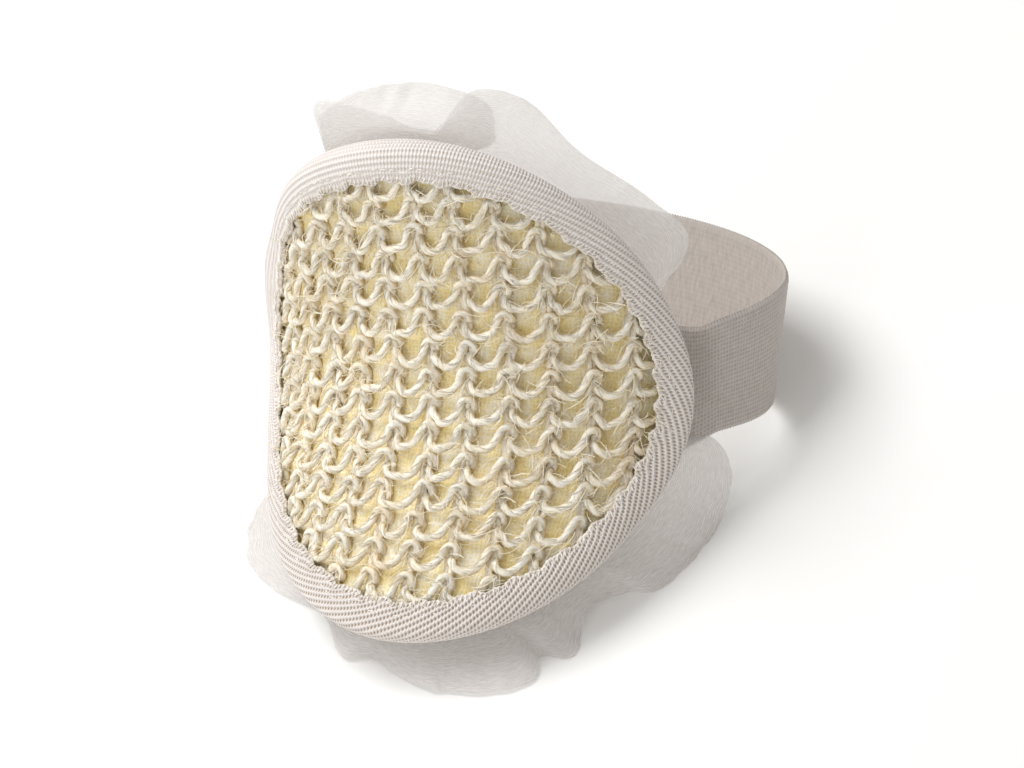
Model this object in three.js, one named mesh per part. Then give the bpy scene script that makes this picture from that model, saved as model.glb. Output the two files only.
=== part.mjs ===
// A bath scrub pad worn on the palm: knitted sisal face, cotton lining, foam filling and cotton back,
// a cotton tape folded over the edge, two gathered net frills and an elastic strap for the hand.
// Millimetres. The pad is drawn upright with its face towards -Y and up along Z. At the end the whole
// thing leans back about X until it rests on its lower frill and on the lower edge of its strap, with
// the floor at Z 0 and the middle of its extents over the origin.

import * as THREE from 'three';

// ---- driving dimensions ----

const pad = {
  halfWidth: 69.3,    // measured round the bend
  halfHeight: 61.7,
  squareness: 1.9,    // 2 is a plain ellipse
  turn: -0.085,       // the outline is sewn this many radians askew of the bend
  bendRadius: 74.5,   // the pad is bent backwards round an upright axis
  curl: 7.9,          // its top and bottom edges curl forwards from a hollow that the strap pulls in
  curlReach: 20,
  curlMiddle: -1.7,
  twist: 0.0021,      // one corner pair stands forward of the other
  lopsided: 3.16e-5,  // and the two sides curl unequally
  edgeDepth: 1.2,     // the face at the rim lies this far behind the tape
  dome: 2,            // the face's middle stands this much prouder than its rim
  plumpness: 2.6,     // higher keeps the filling thick closer to the rim
  knitReach: 0.943,   // the layers end at this share of the outline, inside the tape
};

const gap = 0.3;      // air between neighbours

// From front to back, each with its thickness in the middle and at the rim.
const layers = [
  { name: 'sisal_knit_face', middle: 3.2, rim: 1.3, colour: 0xe6dcba, roughness: 0.75 },
  { name: 'lining_cloth', middle: 0.6, rim: 0.5, colour: 0xd9c98c, roughness: 0.9 },
  { name: 'foam_filling', middle: 9.5, rim: 1.6, colour: 0xece6d2, roughness: 0.95 },
  { name: 'back_cloth', middle: 0.6, rim: 0.5, colour: 0xe4dfd4, roughness: 0.9 },
];

const tape = { flap: 0.864, fold: 0.965, inside: 0.955, thickness: 0.9, colour: 0xddd6d0, roughness: 0.9 };

const strap = {
  width: 30,
  thickness: 1.5,
  sewnX: 53.9,        // where the strap leaves the pad's edge, either side
  sewnY: 35.9,
  sewnZ: 4.3,
  tail: 8,            // length sewn flat behind the tape at each end
  tailDepth: 12.6,
  held: 2,            // it follows the pad for this long, and its own loop from here on:
  freed: 22,
  bendX: 74.7,        // corner of the loop, before rounding
  bendDepth: 34,
  bendReach: 22.6,
  depth: 57,          // how far the loop stands off at the middle
  rise: 0.365,        // the loop's far side is tipped up by this many radians
  flare: 0.181,       // the upper edge runs this share wider than the middle, the lower edge narrower
  colour: 0xa39b94,
  roughness: 0.85,
};

// A frill's free edge, by its peaks and hollows: [place round the rim in degrees, reach past it, swing forwards].
const frill = { thickness: 2.4, inset: 3, depth: 10, colour: 0xdcd9d6, roughness: 0.6 };
const upperFrill = [
  [31, 2, -3], [37, 16, -4], [48, 13, -1], [64, 10, 1], [78, 15, -1], [98, 11, 0], [117, 12, 1], [128, 2, 0],
];
const lowerFrill = [
  [204, 5, -2], [218, 18, 4], [233, 15, 4], [248, 4, -5], [262, 7, -3], [270, 5, -5], [288, 12, 0],
  [303, 16, 1], [312, 15, 0], [319, 8, -2], [328, 12, -2], [333, 18, 1], [352, 21, -1],
];

const rest = { press: 2.0 };   // the soft lower frill is pressed this far flat by its share of the weight

const steps = { round: 48, rings: 5, strap: 54, frill: 54 };

// ---- the pad's curved surface ----

// A point of the pad: across and up along its face, and depth behind that face.
function padPoint(across, up, depth) {
  const turn = across / pad.bendRadius;
  const rise = (up - pad.curlMiddle) / pad.curlReach;
  const spread = Math.hypot(1, rise);
  const skew = pad.twist * up + pad.lopsided * up * up;
  const point = new THREE.Vector3(
    pad.bendRadius * Math.sin(turn),
    pad.bendRadius * (1 - Math.cos(turn)) - pad.curl * (spread - 1) + skew * across,
    up,
  );
  const slope = (pad.twist + 2 * pad.lopsided * up) * across - (pad.curl * rise) / (pad.curlReach * spread);
  const sideways = new THREE.Vector3(Math.cos(turn), Math.sin(turn) + skew, 0);
  const upwards = new THREE.Vector3(0, slope, 1);
  return point.addScaledVector(upwards.cross(sideways).normalize(), depth);
}

// The same, placed by angle round the pad and share of the way from its middle to its outline.
function outlinePoint(angle, share, depth) {
  const bow = (value) => Math.sign(value) * Math.abs(value) ** (2 / pad.squareness);
  const place = new THREE.Vector2(bow(Math.cos(angle)), bow(Math.sin(angle)));
  place.multiply(new THREE.Vector2(pad.halfWidth, pad.halfHeight));
  place.rotateAround(new THREE.Vector2(), pad.turn).multiplyScalar(share);
  return padPoint(place.x, place.y, depth);
}

const plump = (share) => 1 - share ** pad.plumpness;

// Depth of a layer's front and back, layer 0 being the knit.
function layerDepths(index, share) {
  let front = pad.edgeDepth - pad.dome * plump(share);
  for (const layer of layers.slice(0, index)) {
    front += layer.rim + (layer.middle - layer.rim) * plump(share) + gap;
  }
  const { rim, middle } = layers[index];
  return [front, front + rim + (middle - rim) * plump(share)];
}

const stackFront = (share) => layerDepths(0, share)[0];
const stackBack = (share) => layerDepths(layers.length - 1, share)[1];

// Point, outward direction and forward direction at the rim, for what is sewn on behind it.
function rimFrame(angle, depth) {
  const small = 1e-3;
  const point = outlinePoint(angle, 1, depth);
  const along = outlinePoint(angle + small, 1, depth).sub(outlinePoint(angle - small, 1, depth)).normalize();
  const forwards = point.clone().sub(outlinePoint(angle, 1, depth + 1)).normalize();
  const outwards = along.cross(forwards).normalize();
  return { point, outwards, forwards };
}

// ---- closed meshes from rows of points ----

// Builds a mesh from points and faces, turned so that its faces point out.
function solid(points, faces) {
  let volume = 0;
  for (const [a, b, c] of faces) {
    volume += points[a].dot(points[b].clone().cross(points[c]));
  }
  const turned = volume < 0 ? faces.map(([a, b, c]) => [a, c, b]) : faces;
  const geometry = new THREE.BufferGeometry();
  geometry.setAttribute('position', new THREE.Float32BufferAttribute(points.flatMap((p) => p.toArray()), 3));
  geometry.setIndex(turned.flat());
  geometry.computeVertexNormals();
  return geometry;
}

// Joins sections, each a closed row of the same number of points. A ring of sections has no ends. An open
// run is capped, and its sections list one face outwards and the other face back in the same steps.
function loft(sections, isRing) {
  const size = sections[0].length;
  const faces = [];
  const runs = isRing ? sections.length : sections.length - 1;
  for (let i = 0; i < runs; i += 1) {
    const here = i * size;
    const next = ((i + 1) % sections.length) * size;
    for (let j = 0; j < size; j += 1) {
      const k = (j + 1) % size;
      faces.push([here + j, next + j, next + k], [here + j, next + k, here + k]);
    }
  }
  if (!isRing) {
    const last = (sections.length - 1) * size;
    for (let j = 0; j < Math.floor((size - 1) / 2); j += 1) {
      const a = j;
      const b = j + 1;
      const c = size - 2 - j;
      const d = size - 1 - j;
      for (const [p, q, r] of b === c ? [[a, b, d]] : [[a, b, c], [a, c, d]]) {
        faces.push([p, q, r], [last + p, last + r, last + q]);
      }
    }
  }
  return solid(sections.flat(), faces);
}

// A sheet-like layer of the pad between two depths.
function layerGeometry(index) {
  const rows = [];
  for (let i = 1; i <= steps.rings; i += 1) {
    rows.push(pad.knitReach * (i / steps.rings) ** 0.8);
  }
  const points = [];
  const faces = [];
  const sideSize = 1 + steps.rings * steps.round;
  for (const side of [0, 1]) {
    points.push(outlinePoint(0, 0, layerDepths(index, 0)[side]));
    for (const share of rows) {
      for (let j = 0; j < steps.round; j += 1) {
        points.push(outlinePoint((2 * Math.PI * j) / steps.round, share, layerDepths(index, share)[side]));
      }
    }
  }
  const at = (side, ring, j) => side * sideSize + 1 + ring * steps.round + (j % steps.round);
  for (let j = 0; j < steps.round; j += 1) {
    faces.push([0, at(0, 0, j), at(0, 0, j + 1)]);
    faces.push([sideSize, at(1, 0, j + 1), at(1, 0, j)]);
    for (let ring = 0; ring < steps.rings - 1; ring += 1) {
      const [a, b, c, d] = [at(0, ring, j), at(0, ring + 1, j), at(0, ring + 1, j + 1), at(0, ring, j + 1)];
      faces.push([a, b, c], [a, c, d]);
      faces.push([a + sideSize, c + sideSize, b + sideSize], [a + sideSize, d + sideSize, c + sideSize]);
    }
    const outer = steps.rings - 1;
    const [a, b] = [at(0, outer, j), at(0, outer, j + 1)];
    faces.push([a, a + sideSize, b + sideSize], [a, b + sideSize, b]);
  }
  return solid(points, faces);
}

// ---- the pieces ----

// The tape folded over the rim, a channel that runs right round.
function bindingGeometry() {
  const front = (share) => stackFront(share) - gap;
  const back = (share) => stackBack(share) + gap;
  const middle = (front(1) + back(1)) / 2;
  const sections = [];
  for (let j = 0; j < steps.round; j += 1) {
    const angle = (2 * Math.PI * j) / steps.round;
    const inner = [
      [tape.flap, back(tape.flap)], [tape.inside, back(tape.inside)],
      [(tape.inside + 1) / 2, middle],
      [tape.inside, front(tape.inside)], [tape.flap, front(tape.flap)],
    ];
    const outer = [
      [tape.flap, front(tape.flap) - tape.thickness], [tape.fold, front(tape.fold) - tape.thickness],
      [0.99, front(1)], [1, middle], [0.99, back(1)],
      [tape.fold, back(tape.fold) + tape.thickness], [tape.flap, back(tape.flap) + tape.thickness],
    ];
    sections.push([...outer, ...inner].map(([share, depth]) => outlinePoint(angle, share, depth)));
  }
  return loft(sections, true);
}

// The strap's middle line seen from above, from its left end to its right end.
function strapLine() {
  const corner = new THREE.Vector2(strap.bendX, strap.bendDepth);
  const towards = (x, y) => new THREE.Vector2(x, y).sub(corner).setLength(strap.bendReach).add(corner);
  const before = towards(strap.sewnX, 0);
  const after = towards(strap.bendX / 2, strap.depth);
  const line = new THREE.Path();
  line.moveTo(-strap.sewnX, 0);
  line.lineTo(-before.x, before.y);
  line.quadraticCurveTo(-corner.x, corner.y, -after.x, after.y);
  line.quadraticCurveTo(-strap.bendX / 2, strap.depth, 0, strap.depth);
  line.quadraticCurveTo(strap.bendX / 2, strap.depth, after.x, after.y);
  line.quadraticCurveTo(corner.x, corner.y, before.x, before.y);
  line.lineTo(strap.sewnX, 0);
  return line;
}

// A point of the strap: run along its middle line and height across its width.
function strapLoopPoint({ x, y }, height) {
  const back = y * (1 + (strap.flare * height) / (strap.width / 2));
  return new THREE.Vector3(
    x,
    strap.sewnY + back * Math.cos(strap.rise) - height * Math.sin(strap.rise),
    strap.sewnZ + back * Math.sin(strap.rise) + height * Math.cos(strap.rise),
  );
}

function strapGeometry() {
  const line = strapLine();
  const loop = line.getSpacedPoints(steps.strap);
  const edge = (height) => {
    const tailPoint = (side, along) => {
      return padPoint(side * (pad.halfWidth + along), strap.sewnZ + height, strap.tailDepth);
    };
    const points = loop.map((point) => {
      const free = strapLoopPoint(point, height);
      const distance = Math.abs(Math.abs(point.x) - strap.sewnX) + point.y;
      const held = tailPoint(Math.sign(point.x), distance);
      return held.lerp(free, THREE.MathUtils.smoothstep(distance, strap.held, strap.freed));
    });
    return [tailPoint(-1, -strap.tail), ...points, tailPoint(1, -strap.tail)];
  };
  const upper = edge(strap.width / 2);
  const lower = edge(-strap.width / 2);
  const sections = upper.map((top, i) => {
    const bottom = lower[i];
    const before = Math.max(i - 1, 0);
    const after = Math.min(i + 1, upper.length - 1);
    const along = upper[after].clone().add(lower[after]).sub(upper[before]).sub(lower[before]);
    const out = along.cross(top.clone().sub(bottom)).setLength(strap.thickness / 2);
    return [top.clone().add(out), bottom.clone().add(out), bottom.clone().sub(out), top.clone().sub(out)];
  });
  return loft(sections, false);
}

// A frill of folded net, fixed behind the tape and standing out in slack waves.
function frillSections(edge) {
  const freeEdge = new THREE.CatmullRomCurve3(edge.map((place) => new THREE.Vector3(...place)));
  const shares = [0, 0.3, 0.55, 0.8, 1];
  const fullness = [1, 1, 1, 0.9, 0];
  return freeEdge.getPoints(steps.frill).map(({ x: degrees, y: reach, z: swing }) => {
    const { point, outwards, forwards } = rimFrame(THREE.MathUtils.degToRad(degrees), frill.depth);
    const centre = (share) => {
      const out = THREE.MathUtils.lerp(-frill.inset, reach, share);
      const lift = swing * THREE.MathUtils.smoothstep(out, 0, reach);
      return point.clone().addScaledVector(outwards, out).addScaledVector(forwards, lift);
    };
    const face = (side) => shares.map((share, i) => {
      const along = centre(share + 0.01).sub(centre(share - 0.01)).normalize();
      const across = forwards.clone().addScaledVector(along, -forwards.dot(along)).normalize();
      return centre(share).addScaledVector(across, (side * fullness[i] * frill.thickness) / 2);
    });
    return [...face(1), ...face(-1).slice(0, -1).reverse()];
  });
}

// ---- resting ----

// How far the pad leans back for its strap and its lower frill to stand on one floor, and how high that is.
function findRest(strapShape, frillShape) {
  const lowest = (shape, lean) => {
    const turned = shape.clone().rotateX(-lean);
    turned.computeBoundingBox();
    return turned.boundingBox.min.z;
  };
  let [low, high] = [0, Math.PI / 2];
  for (let i = 0; i < 40; i += 1) {
    const lean = (low + high) / 2;
    if (lowest(strapShape, lean) > lowest(frillShape, lean) + rest.press) {
      low = lean;
    } else {
      high = lean;
    }
  }
  return { lean: low, floor: lowest(strapShape, low) };
}

// Presses whatever would pass through the floor flat against it.
function pressFlat(shape) {
  const position = shape.getAttribute('position');
  for (let i = 0; i < position.count; i += 1) {
    position.setZ(i, Math.max(position.getZ(i), 0));
  }
  shape.computeVertexNormals();
}

// ---- assembly ----

const object = new THREE.Group();

function addPiece(name, shape, { colour, roughness }) {
  const material = new THREE.MeshStandardMaterial({ color: colour, roughness, metalness: 0 });
  const mesh = new THREE.Mesh(shape, material);
  mesh.name = name;
  object.add(mesh);
}

layers.forEach((layer, index) => addPiece(layer.name, layerGeometry(index), layer));
addPiece('edge_binding', bindingGeometry(), tape);
addPiece('hand_strap', strapGeometry(), strap);
addPiece('upper_frill', loft(frillSections(upperFrill), false), frill);
addPiece('lower_frill', loft(frillSections(lowerFrill), false), frill);

const shapeOf = (name) => object.getObjectByName(name).geometry;
const { lean, floor } = findRest(shapeOf('hand_strap'), shapeOf('lower_frill'));
for (const { geometry } of object.children) {
  geometry.rotateX(-lean).translate(0, 0, -floor);
}
pressFlat(shapeOf('lower_frill'));
const middle = new THREE.Box3().setFromObject(object).getCenter(new THREE.Vector3());
for (const { geometry } of object.children) {
  geometry.translate(-middle.x, -middle.y, 0);
}

export default object;
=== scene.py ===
import math

import bpy
import numpy as np
from mathutils import Matrix, Vector


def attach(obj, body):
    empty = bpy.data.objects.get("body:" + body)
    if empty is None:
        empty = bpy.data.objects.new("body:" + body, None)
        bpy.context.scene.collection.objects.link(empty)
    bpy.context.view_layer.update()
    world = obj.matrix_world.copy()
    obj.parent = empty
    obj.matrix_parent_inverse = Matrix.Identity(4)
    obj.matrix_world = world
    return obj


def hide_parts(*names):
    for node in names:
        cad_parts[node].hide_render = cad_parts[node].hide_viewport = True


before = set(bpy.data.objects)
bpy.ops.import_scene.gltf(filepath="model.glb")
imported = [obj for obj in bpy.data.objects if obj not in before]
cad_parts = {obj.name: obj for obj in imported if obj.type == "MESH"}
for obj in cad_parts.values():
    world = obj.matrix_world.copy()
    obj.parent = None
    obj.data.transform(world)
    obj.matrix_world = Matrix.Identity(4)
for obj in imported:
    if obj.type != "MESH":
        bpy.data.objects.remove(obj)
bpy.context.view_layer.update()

# A sisal bath scrub pad on a studio floor. Shapes are worked out in millimetres in the pad's own
# upright frame (x right, y back, z up, face forwards), then leaned back and set on the floor.

mm = 0.001
rng = np.random.default_rng(41)

# The pad's curved surface, the same as the solids'.

pad = dict(
    halfWidth=69.3, halfHeight=61.7, squareness=1.9, turn=-0.085,  # outline, round the bend
    bendRadius=74.5, curl=7.9, curlReach=20.0, curlMiddle=-1.7, twist=0.0021, lopsided=3.16e-5,
    edgeDepth=1.2, dome=2.0, plumpness=2.6,
    knitReach=0.943,     # the layers end at this share of the outline
    lean=0.714879,       # radians it leans back to rest, as the solids do
    height=50.991,       # of the pad's middle above the floor
    back=-21.684,        # of the pad's middle along y
    leftFlare=2.9, leftFlareAt=27.0,      # the soft rim stands proud here, in mm, and this high up
    rightFlare=1.5, rightFlareAt=-2.0,
    topSink=1.7, topSinkAt=-22.0,         # and sits lower along the top, this far across
)
layers = dict(knit=(3.2, 1.3), lining=(0.6, 0.5), foam=(9.5, 1.6), backCloth=(0.6, 0.5))  # middle, rim
gap = 0.3          # air between neighbouring layers
rimReach = 65.0    # from the pad's middle to its rim, near enough to turn mm across the tape into shares


def unit(vectors):
    return vectors / np.linalg.norm(vectors, axis=-1, keepdims=True)


def smooth(value, low, high):
    t = np.clip((value - low) / (high - low), 0, 1)
    return t * t * (3 - 2 * t)


def onPad(across, up, depth):
    # a point of the pad: across and up along its face, depth behind it
    across, up, depth = np.broadcast_arrays(*(np.asarray(v, float) for v in (across, up, depth)))
    turn = across / pad["bendRadius"]
    rise = (up - pad["curlMiddle"]) / pad["curlReach"]
    spread = np.hypot(1, rise)
    skew = pad["twist"] * up + pad["lopsided"] * up * up
    y = pad["bendRadius"] * (1 - np.cos(turn)) - pad["curl"] * (spread - 1) + skew * across
    left = 0.28 + 0.72 * np.exp(-((up - pad["leftFlareAt"]) / 24) ** 2)
    left = pad["leftFlare"] * smooth(-across, 55, 67) * left
    right = pad["rightFlare"] * smooth(across, 58, 68) * np.exp(-((up - pad["rightFlareAt"]) / 30) ** 2)
    sink = pad["topSink"] * smooth(up, 34, 58) * np.exp(-((across - pad["topSinkAt"]) / 30) ** 2)
    point = np.stack([pad["bendRadius"] * np.sin(turn) - left + right, y, up - sink], -1)
    slope = (pad["twist"] + 2 * pad["lopsided"] * up) * across
    slope = slope - pad["curl"] * rise / (pad["curlReach"] * spread)
    zero = np.zeros_like(slope)
    sideways = np.stack([np.cos(turn), np.sin(turn) + skew, zero], -1)
    upwards = np.stack([zero, slope, zero + 1], -1)
    return point + unit(np.cross(upwards, sideways)) * depth[..., None]


def outline(angle, share):
    # across and up at an angle round the pad, share of the way out to its edge
    bow = lambda v: np.sign(v) * np.abs(v) ** (2 / pad["squareness"])
    x = share * pad["halfWidth"] * bow(np.cos(angle))
    y = share * pad["halfHeight"] * bow(np.sin(angle))
    c, s = math.cos(pad["turn"]), math.sin(pad["turn"])
    return x * c - y * s, x * s + y * c


def shareAt(across, up):
    c, s = math.cos(pad["turn"]), math.sin(pad["turn"])
    x, y = across * c + up * s, -across * s + up * c
    n = pad["squareness"]
    return (np.abs(x / pad["halfWidth"]) ** n + np.abs(y / pad["halfHeight"]) ** n) ** (1 / n)


def plump(share):
    return 1 - np.minimum(share, 1) ** pad["plumpness"]


def depthOf(layer, side, share):
    # depth of a layer's front (side 0) or back (side 1)
    depth = pad["edgeDepth"] - pad["dome"] * plump(share)
    for name, (middle, rim) in layers.items():
        thick = rim + (middle - rim) * plump(share)
        if name == layer:
            return depth + side * thick
        depth = depth + thick + gap


def rimFrame(angle, depth):
    # point, outward and forward directions at the rim
    at = lambda a, d: onPad(*outline(a, 1.0), d)
    point = at(angle, depth)
    along = unit(at(angle + 1e-3, depth) - at(angle - 1e-3, depth))
    forwards = unit(point - at(angle, depth + 1))
    return point, unit(np.cross(along, forwards)), forwards


def setDown(points):
    # from the upright frame to the floor's, in metres
    c, s = math.cos(pad["lean"]), math.sin(pad["lean"])
    x, y, z = points[..., 0], points[..., 1], points[..., 2]
    return np.stack([x, y * c + z * s + pad["back"], z * c - y * s + pad["height"]], -1) * mm


def through(knots, count):
    # a smooth run of points through knots, count to each span
    knots = np.asarray(knots, float)
    k = np.concatenate([2 * knots[:1] - knots[1:2], knots, 2 * knots[-1:] - knots[-2:-1]])
    t = (np.arange(count) / count)[:, None, None]
    a, b, c, d = k[:-3], k[1:-2], k[2:-1], k[3:]
    run = 0.5 * (2 * b + (c - a) * t + (2 * a - 5 * b + 4 * c - d) * t**2 + (3 * b - a - 3 * c + d) * t**3)
    return np.concatenate([run.transpose(1, 0, 2).reshape(-1, knots.shape[1]), knots[-1:]])


def distances(points):
    # how far along a run each of its points is
    return np.concatenate([[0], np.cumsum(np.linalg.norm(np.diff(points, axis=0), axis=1))])


def waver(count, step, size, period, seed):
    # slow random wandering along a run of points
    local = np.random.default_rng(seed)
    knots = local.normal(size=int(count * step / period) + 4)
    x = np.arange(count) * step / period
    i = x.astype(int)
    t = smooth(x - i, 0, 1)
    return size * (knots[i] * (1 - t) + knots[i + 1] * t)


# Meshes, nodes and materials.

def makeMesh(name, points, faces, uv=None, edges=()):
    mesh = bpy.data.meshes.new(name)
    places = np.asarray(points).reshape(-1, 3).tolist()
    mesh.from_pydata(places, list(edges), [tuple(map(int, f)) for f in faces])
    if uv is not None:
        layer = mesh.uv_layers.new(name="cloth")
        layer.data.foreach_set("uv", np.asarray(uv, float).ravel())
    if len(faces):
        mesh.polygons.foreach_set("use_smooth", [True] * len(mesh.polygons))
    mesh.update()
    piece = bpy.data.objects.new(name, mesh)
    bpy.context.scene.collection.objects.link(piece)
    return piece


def gridMesh(name, points, u, v, ring=False, closed=False):
    # rows of points as a cloth; ring joins the last row to the first, closed does so across; u and v in mm
    rows, cols = points.shape[:2]
    i = np.arange(rows if ring else rows - 1)[:, None]
    j = np.arange(cols if closed else cols - 1)[None, :]
    corner = lambda a, b: ((i + a) % rows) * cols + (j + b) % cols
    faces = np.stack([corner(0, 0), corner(1, 0), corner(1, 1), corner(0, 1)], -1).reshape(-1, 4)
    uAt = lambda a: np.broadcast_to(u[i + a], (len(i), j.shape[1]))
    vAt = lambda b: np.broadcast_to(v[j + b], (len(i), j.shape[1]))
    uv = np.stack([np.stack([uAt(a), vAt(b)], -1) for a, b in ((0, 0), (1, 0), (1, 1), (0, 1))], 2)
    return makeMesh(name, points, faces, uv.reshape(-1, 2))


def turnOutwards(piece):
    # a closed mesh that came out inside out is flipped
    mesh = piece.data
    mesh.calc_loop_triangles()
    tris = np.zeros(len(mesh.loop_triangles) * 3, int)
    mesh.loop_triangles.foreach_get("vertices", tris)
    co = np.zeros(len(mesh.vertices) * 3)
    mesh.vertices.foreach_get("co", co)
    a, b, c = (co.reshape(-1, 3)[tris.reshape(-1, 3)[:, k]] for k in range(3))
    if (a * np.cross(b, c)).sum() < 0:
        mesh.flip_normals()
    return piece


def addNode(tree, kind, inputs=None, **settings):
    node = tree.nodes.new(kind)
    for key, value in settings.items():
        setattr(node, key, value)
    for socket, value in (inputs or {}).items():
        if isinstance(value, bpy.types.NodeSocket):
            tree.links.new(value, node.inputs[socket])
        else:
            node.inputs[socket].default_value = value
    return node


def srgb(code):
    # a hex colour as seen, turned to the linear one that nodes take
    parts = [int(code[i:i + 2], 16) / 255 for i in (1, 3, 5)]
    return tuple(p / 12.92 if p <= 0.04045 else ((p + 0.055) / 1.055) ** 2.4 for p in parts) + (1.0,)


def newTree(name, **inputs):
    tree = bpy.data.node_groups.new(name, "GeometryNodeTree")
    kinds = {float: "NodeSocketFloat", int: "NodeSocketInt"}
    tree.interface.new_socket("Geometry", in_out="INPUT", socket_type="NodeSocketGeometry")
    for key, value in inputs.items():
        socket = tree.interface.new_socket(key, in_out="INPUT", socket_type=kinds[type(value)])
        socket.default_value = value
    tree.interface.new_socket("material", in_out="INPUT", socket_type="NodeSocketMaterial")
    tree.interface.new_socket("Geometry", in_out="OUTPUT", socket_type="NodeSocketGeometry")
    return tree, addNode(tree, "NodeGroupInput").outputs


def runTree(source, tree, name, **values):
    # the tree's result on source, as a plain mesh of its own
    modifier = source.modifiers.new("nodes", "NODES")
    modifier.node_group = tree
    for item in tree.interface.items_tree:
        if item.item_type == "SOCKET" and item.in_out == "INPUT" and item.name in values:
            modifier[item.identifier] = values[item.name]
    depsgraph = bpy.context.evaluated_depsgraph_get()
    mesh = bpy.data.meshes.new_from_object(
        source.evaluated_get(depsgraph), preserve_all_data_layers=True, depsgraph=depsgraph)
    source.modifiers.remove(modifier)
    mesh.name = name
    piece = bpy.data.objects.new(name, mesh)
    bpy.context.scene.collection.objects.link(piece)
    return piece


def remove(*objects):
    for o in objects:
        bpy.data.objects.remove(o)


def finishPiece(piece, material, slot, *nodes):
    if material is not None:
        piece.data.materials.clear()
        piece.data.materials.append(material)
    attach(piece, "root")
    if nodes:
        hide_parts(*nodes)
    return piece


def newMaterial(name, roughness, **uniform):
    material = bpy.data.materials.new(name)
    material.use_nodes = True
    tree = material.node_tree
    shader = tree.nodes["Principled BSDF"]
    shader.inputs["Roughness"].default_value = roughness
    for socket, value in uniform.items():
        shader.inputs[socket.replace("_", " ")].default_value = value
    return material, tree, shader


def ramp(tree, factor, *stops):
    node = addNode(tree, "ShaderNodeValToRGB", {"Fac": factor})
    elements = node.color_ramp.elements
    while len(elements) < len(stops):
        elements.new(0.5)
    for element, (place, colour) in zip(elements, stops):
        element.position, element.color = place, srgb(colour)
    return node.outputs["Color"]


def maths(tree, operation, a, b=0.0, c=0.0):
    return addNode(tree, "ShaderNodeMath", {0: a, 1: b, 2: c}, operation=operation).outputs[0]


def cosine(tree, value, period):
    return maths(tree, "COSINE", maths(tree, "MULTIPLY", value, 2 * math.pi / period))


def noise(tree, vector, scale, detail=2.0):
    given = {"Vector": vector, "Scale": scale, "Detail": detail}
    return addNode(tree, "ShaderNodeTexNoise", given).outputs["Fac"]


def clothPlace(tree):
    # mm along and across the cloth
    return addNode(tree, "ShaderNodeUVMap", uv_map="cloth").outputs[0]


def objectPlace(tree):
    return addNode(tree, "ShaderNodeTexCoord").outputs["Object"]


def dress(tree, shader, colour, height, strength, distance):
    # the shader's colour, and relief raised from height
    bump = addNode(tree, "ShaderNodeBump", {"Height": height, "Strength": strength, "Distance": distance})
    tree.links.new(colour, shader.inputs["Base Color"])
    tree.links.new(bump.outputs[0], shader.inputs["Normal"])


def endTree(tree, given, geometry):
    done = addNode(tree, "GeometryNodeSetMaterial", {"Geometry": geometry, "Material": given["material"]})
    addNode(tree, "NodeGroupOutput", {0: done.outputs[0]})
    return tree


# Sisal yarn, spun thick and soft from long leaf fibres.

yarn = dict(
    stitchWidth=10.5, rowHeight=7.18, slant=0.093, firstAcross=36.9, firstUp=37.5, shift=-45.0,
    radius=0.98, lobes=2, lobeDepth=0.1, twistPitch=11.0, sides=12, step=0.55, relief=1.12,
    jitter=0.12, drift=0.42, edge=0.905,
    strands=15, strandRadius=0.075, strandPitch=12.0,   # single fibres lying round the yarn
    rows=(-4, 15), columns=(-13, 8),                    # more than the pad holds; the rest is clipped
    legs=((5.7, 0.4), (7.5, -0.4)), legRadius=0.8, legJitter=0.25, legReach=0.93,
)


# the pad's front direction, against which the yarn's painted side shade is measured
padFront = unit(setDown(np.array([0.0, -1.0, 0.0])) - setDown(np.zeros(3)))


def yarnMaterial(name, light, dark):
    # sisal: pale straw fibres lying side by side, so the light breaks into fine streaks along the twist
    material, tree, shader = newMaterial(name, 0.55, Sheen_Weight=0.3, Sheen_Roughness=0.4,
                                         Specular_IOR_Level=0.35)
    coord = addNode(tree, "ShaderNodeAttribute", attribute_name="fibreCoord").outputs["Vector"]
    streak = addNode(tree, "ShaderNodeMapping", {"Vector": coord, "Scale": (3.8, 3.8, 0.35)}).outputs[0]
    fine = addNode(tree, "ShaderNodeTexNoise", {"Vector": streak, "Scale": 1.0, "Detail": 3.0,
                                                "Roughness": 0.6}).outputs["Fac"]
    place = objectPlace(tree)
    patch = noise(tree, place, 90.0, 1.0)
    mixed = maths(tree, "MULTIPLY_ADD", patch, 0.35, maths(tree, "MULTIPLY", fine, 0.65))
    colour = ramp(tree, mixed, (0.32, dark), (0.48, light), (0.68, "#FFFDF6"))
    normal = addNode(tree, "ShaderNodeNewGeometry").outputs["Normal"]
    outwards = addNode(tree, "ShaderNodeVectorMath", {0: normal, 1: padFront},
                       operation="DOT_PRODUCT").outputs["Value"]
    sideShade = addNode(tree, "ShaderNodeMapRange", {0: outwards, 1: 0.75, 2: -0.1, 3: 0.0, 4: 1.0}).outputs[0]
    # painted shade: the yarn's sides, turned away from the pad's front, are tinted a deeper straw colour
    colour = addNode(tree, "ShaderNodeMix", {0: sideShade, 6: colour, 7: srgb("#FFEEC8")},
                     data_type="RGBA", blend_type="MULTIPLY").outputs[2]
    dress(tree, shader, colour, fine, 0.85, 0.00035)
    return material


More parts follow.
